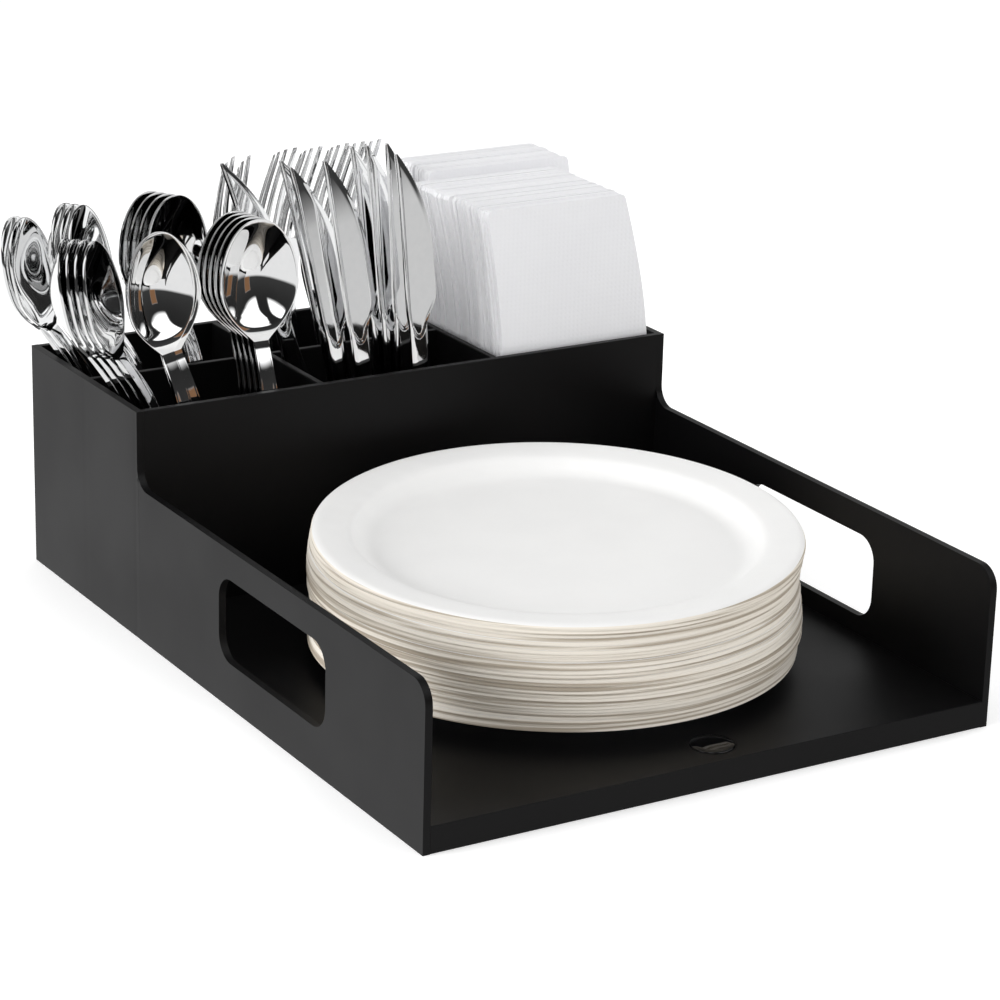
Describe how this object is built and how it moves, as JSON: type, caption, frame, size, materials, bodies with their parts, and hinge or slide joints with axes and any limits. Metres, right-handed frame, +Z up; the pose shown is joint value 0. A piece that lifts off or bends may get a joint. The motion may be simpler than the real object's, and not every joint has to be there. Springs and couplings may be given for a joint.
{
  "type": "utensil and napkin caddy",
  "caption": "Black countertop caddy with an open plate tray, cutlery pockets and a napkin pocket, shown filled with contents that lift out.",
  "frame": {"origin": "centre of the caddy's footprint on the counter", "axes": "+X to the right along the front lip, +Y to the back, +Z up"},
  "size_m": [0.3061, 0.376, 0.2124],
  "materials": {
    "black_plastic": "satin black moulded plastic",
    "badge_gloss": "bare glossy black disc",
    "mirror_metal": "mirror-bright silver, as polished steel or metallised plastic",
    "napkin_paper": "white embossed tissue",
    "plate_board": "white coated moulded fibre"
  },
  "bodies": {
    "caddy": {"tray_base": "black_plastic", "left_side_panel": "black_plastic", "right_side_panel": "black_plastic", "bin_front_wall": "black_plastic", "bin_back_wall": "black_plastic", "cross_divider": "black_plastic", "cutlery_divider": "black_plastic", "napkin_divider": "black_plastic", "floor_badge": "badge_gloss"},
    "spoons_back": {"spoon_back_left_1": "mirror_metal", "spoon_back_left_2": "mirror_metal", "spoon_back_mid_1": "mirror_metal", "spoon_back_mid_2": "mirror_metal", "spoon_back_mid_3": "mirror_metal", "spoon_back_right_1": "mirror_metal", "spoon_back_right_2": "mirror_metal", "spoon_back_right_3": "mirror_metal", "spoon_back_right_4": "mirror_metal"},
    "spoons_front": {"spoon_front_left_1": "mirror_metal", "spoon_front_left_2": "mirror_metal", "spoon_front_left_3": "mirror_metal", "spoon_front_left_4": "mirror_metal", "spoon_front_mid_1": "mirror_metal", "spoon_front_mid_2": "mirror_metal", "spoon_front_right_1": "mirror_metal", "spoon_front_right_2": "mirror_metal", "spoon_front_right_3": "mirror_metal", "spoon_front_right_4": "mirror_metal", "spoon_front_right_5": "mirror_metal"},
    "knives": {"knife_1": "mirror_metal", "knife_2": "mirror_metal", "knife_3": "mirror_metal", "knife_4": "mirror_metal", "knife_5": "mirror_metal", "knife_6": "mirror_metal", "knife_7": "mirror_metal", "knife_8": "mirror_metal"},
    "forks": {"fork_1": "mirror_metal", "fork_2": "mirror_metal", "fork_3": "mirror_metal", "fork_4": "mirror_metal", "fork_5": "mirror_metal", "fork_6": "mirror_metal", "fork_7": "mirror_metal"},
    "napkin_row": {"napkin_pack_front": "napkin_paper", "napkin_pack_middle": "napkin_paper", "napkin_pack_back": "napkin_paper"},
    "napkin_first": {"napkin_first": "napkin_paper"},
    "plate_stack": {"plates_lower": "plate_board", "plates_middle": "plate_board", "plates_upper": "plate_board"},
    "plate_top": {"plate_top": "plate_board"}
  },
  "joints": [
    {"name": "spoons_back_lift", "type": "slide", "parent": "caddy", "child": "spoons_back", "axis": [0, 0, 1], "range_m": [0, 0.2]},
    {"name": "spoons_front_lift", "type": "slide", "parent": "caddy", "child": "spoons_front", "axis": [0, 0, 1], "range_m": [0, 0.2]},
    {"name": "knives_lift", "type": "slide", "parent": "caddy", "child": "knives", "axis": [0, 0, 1], "range_m": [0, 0.2]},
    {"name": "forks_lift", "type": "slide", "parent": "caddy", "child": "forks", "axis": [0, 0, 1], "range_m": [0, 0.2]},
    {"name": "napkin_row_lift", "type": "slide", "parent": "caddy", "child": "napkin_row", "axis": [0, 0, 1], "range_m": [0, 0.2]},
    {"name": "napkin_first_lift", "type": "slide", "parent": "caddy", "child": "napkin_first", "axis": [0, 0, 1], "range_m": [0, 0.2]},
    {"name": "plate_stack_lift", "type": "slide", "parent": "caddy", "child": "plate_stack", "axis": [0, 0, 1], "range_m": [0, 0.12]},
    {"name": "plate_top_lift", "type": "slide", "parent": "plate_stack", "child": "plate_top", "axis": [0, 0, 1], "range_m": [0, 0.06]}
  ]
}
